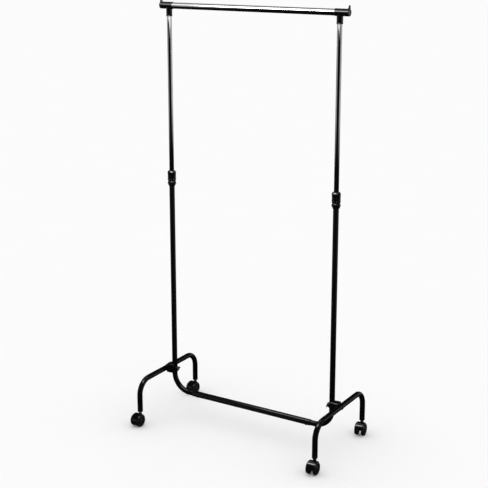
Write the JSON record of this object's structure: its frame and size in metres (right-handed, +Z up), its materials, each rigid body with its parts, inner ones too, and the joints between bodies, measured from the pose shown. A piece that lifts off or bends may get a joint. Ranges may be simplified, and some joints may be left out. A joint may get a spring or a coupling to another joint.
{
  "type": "rolling clothes rack",
  "caption": "Rolling clothes rack: telescoping uprights with twist-lock collars, a chromed hanging rail in tee connectors, a low crossbar and inverted-U legs on twin-wheel casters.",
  "frame": {"origin": "on the floor, under the middle of the rack's bounding box", "axes": "+Z up, +X along the hanging rail to the right seen from the front, +Y to the back"},
  "size_m": [0.8776, 0.469, 1.747],
  "materials": {
    "black_enamel": "gloss",
    "chrome_plate": "polished",
    "black_plastic": "satin",
    "wheel_plastic": "satin",
    "zinc_steel": "satin",
    "black_steel": "satin",
    "nylon": "satin"
  },
  "bodies": {
    "base": {"left_upright": "black_enamel", "right_upright": "black_enamel", "crossbar": "black_enamel", "crossbar_screws": "black_steel", "left_leg": "black_enamel", "right_leg": "black_enamel", "left_saddle": "black_plastic", "right_saddle": "black_plastic", "left_clamp_cap": "black_plastic", "right_clamp_cap": "black_plastic", "left_leg_bolt": "black_steel", "right_leg_bolt": "black_steel", "left_collar_ring": "black_plastic", "right_collar_ring": "black_plastic", "left_collet": "nylon", "right_collet": "nylon", "stop_rivets": "black_steel", "front_left_plug": "nylon", "rear_left_plug": "nylon", "front_right_plug": "nylon", "rear_right_plug": "nylon"},
    "upper_frame": {"left_upper_tube": "chrome_plate", "right_upper_tube": "chrome_plate", "left_glide_bush": "nylon", "right_glide_bush": "nylon", "left_tee": "black_plastic", "right_tee": "black_plastic", "hanging_rail": "chrome_plate"},
    "left_lock_nut": {"left_lock_nut": "black_plastic"},
    "left_wing_nut": {"left_wing_nut": "black_steel"},
    "right_lock_nut": {"right_lock_nut": "black_plastic"},
    "right_wing_nut": {"right_wing_nut": "black_steel"},
    "front_left_caster": {"front_left_stem": "zinc_steel", "front_left_hood": "black_plastic", "front_left_axle": "zinc_steel"},
    "front_left_wheel_a": {"front_left_wheel_a": "wheel_plastic"},
    "front_left_wheel_b": {"front_left_wheel_b": "wheel_plastic"},
    "front_right_caster": {"front_right_stem": "zinc_steel", "front_right_hood": "black_plastic", "front_right_axle": "zinc_steel"},
    "front_right_wheel_a": {"front_right_wheel_a": "wheel_plastic"},
    "front_right_wheel_b": {"front_right_wheel_b": "wheel_plastic"},
    "rear_left_caster": {"rear_left_stem": "zinc_steel", "rear_left_hood": "black_plastic", "rear_left_axle": "zinc_steel"},
    "rear_left_wheel_a": {"rear_left_wheel_a": "wheel_plastic"},
    "rear_left_wheel_b": {"rear_left_wheel_b": "wheel_plastic"},
    "rear_right_caster": {"rear_right_stem": "zinc_steel", "rear_right_hood": "black_plastic", "rear_right_axle": "zinc_steel"},
    "rear_right_wheel_a": {"rear_right_wheel_a": "wheel_plastic"},
    "rear_right_wheel_b": {"rear_right_wheel_b": "wheel_plastic"}
  },
  "joints": [
    {"name": "height_slide", "type": "slide", "parent": "base", "child": "upper_frame", "axis": [0, 0, 1], "range_m": [-0.622, 0.05]},
    {"name": "left_lock_twist", "type": "hinge", "parent": "base", "child": "left_lock_nut", "pos_m": [-0.37893, 0.016, 1.032], "axis": [0, 0, 1], "range_deg": [0, 270]},
    {"name": "left_wing_nut_twist", "type": "hinge", "parent": "base", "child": "left_wing_nut", "pos_m": [-0.36193, 0.016, 0.189], "axis": [1, 0, 0], "range_deg": [0, 180]},
    {"name": "right_lock_twist", "type": "hinge", "parent": "base", "child": "right_lock_nut", "pos_m": [0.37707, 0.016, 1.032], "axis": [0, 0, 1], "range_deg": [0, 270]},
    {"name": "right_wing_nut_twist", "type": "hinge", "parent": "base", "child": "right_wing_nut", "pos_m": [0.36007, 0.016, 0.189], "axis": [-1, 0, 0], "range_deg": [0, 180]},
    {"name": "front_left_swivel", "type": "hinge", "parent": "base", "child": "front_left_caster", "pos_m": [-0.41393, -0.189, 0.06], "axis": [0, 0, 1], "continuous": true},
    {"name": "front_left_wheel_a_spin", "type": "hinge", "parent": "front_left_caster", "child": "front_left_wheel_a", "pos_m": [-0.41511, -0.20596, 0.025], "axis": [0.9976, -0.0698, 0], "continuous": true},
    {"name": "front_left_wheel_b_spin", "type": "hinge", "parent": "front_left_caster", "child": "front_left_wheel_b", "pos_m": [-0.41511, -0.20596, 0.025], "axis": [0.9976, -0.0698, 0], "continuous": true},
    {"name": "front_right_swivel", "type": "hinge", "parent": "base", "child": "front_right_caster", "pos_m": [0.41207, -0.189, 0.06], "axis": [0, 0, 1], "continuous": true},
    {"name": "front_right_wheel_a_spin", "type": "hinge", "parent": "front_right_caster", "child": "front_right_wheel_a", "pos_m": [0.41326, -0.20596, 0.025], "axis": [0.9976, 0.0698, 0], "continuous": true},
    {"name": "front_right_wheel_b_spin", "type": "hinge", "parent": "front_right_caster", "child": "front_right_wheel_b", "pos_m": [0.41326, -0.20596, 0.025], "axis": [0.9976, 0.0698, 0], "continuous": true},
    {"name": "rear_left_swivel", "type": "hinge", "parent": "base", "child": "rear_left_caster", "pos_m": [-0.41393, 0.221, 0.06], "axis": [0, 0, 1], "continuous": true},
    {"name": "rear_left_wheel_a_spin", "type": "hinge", "parent": "rear_left_caster", "child": "rear_left_wheel_a", "pos_m": [-0.4157, 0.20409, 0.025], "axis": [0.9945, -0.1045, 0], "continuous": true},
    {"name": "rear_left_wheel_b_spin", "type": "hinge", "parent": "rear_left_caster", "child": "rear_left_wheel_b", "pos_m": [-0.4157, 0.20409, 0.025], "axis": [0.9945, -0.1045, 0], "continuous": true},
    {"name": "rear_right_swivel", "type": "hinge", "parent": "base", "child": "rear_right_caster", "pos_m": [0.41207, 0.221, 0.06], "axis": [0, 0, 1], "continuous": true},
    {"name": "rear_right_wheel_a_spin", "type": "hinge", "parent": "rear_right_caster", "child": "rear_right_wheel_a", "pos_m": [0.41473, 0.20421, 0.025], "axis": [0.9877, 0.1564, 0], "continuous": true},
    {"name": "rear_right_wheel_b_spin", "type": "hinge", "parent": "rear_right_caster", "child": "rear_right_wheel_b", "pos_m": [0.41473, 0.20421, 0.025], "axis": [0.9877, 0.1564, 0], "continuous": true}
  ]
}
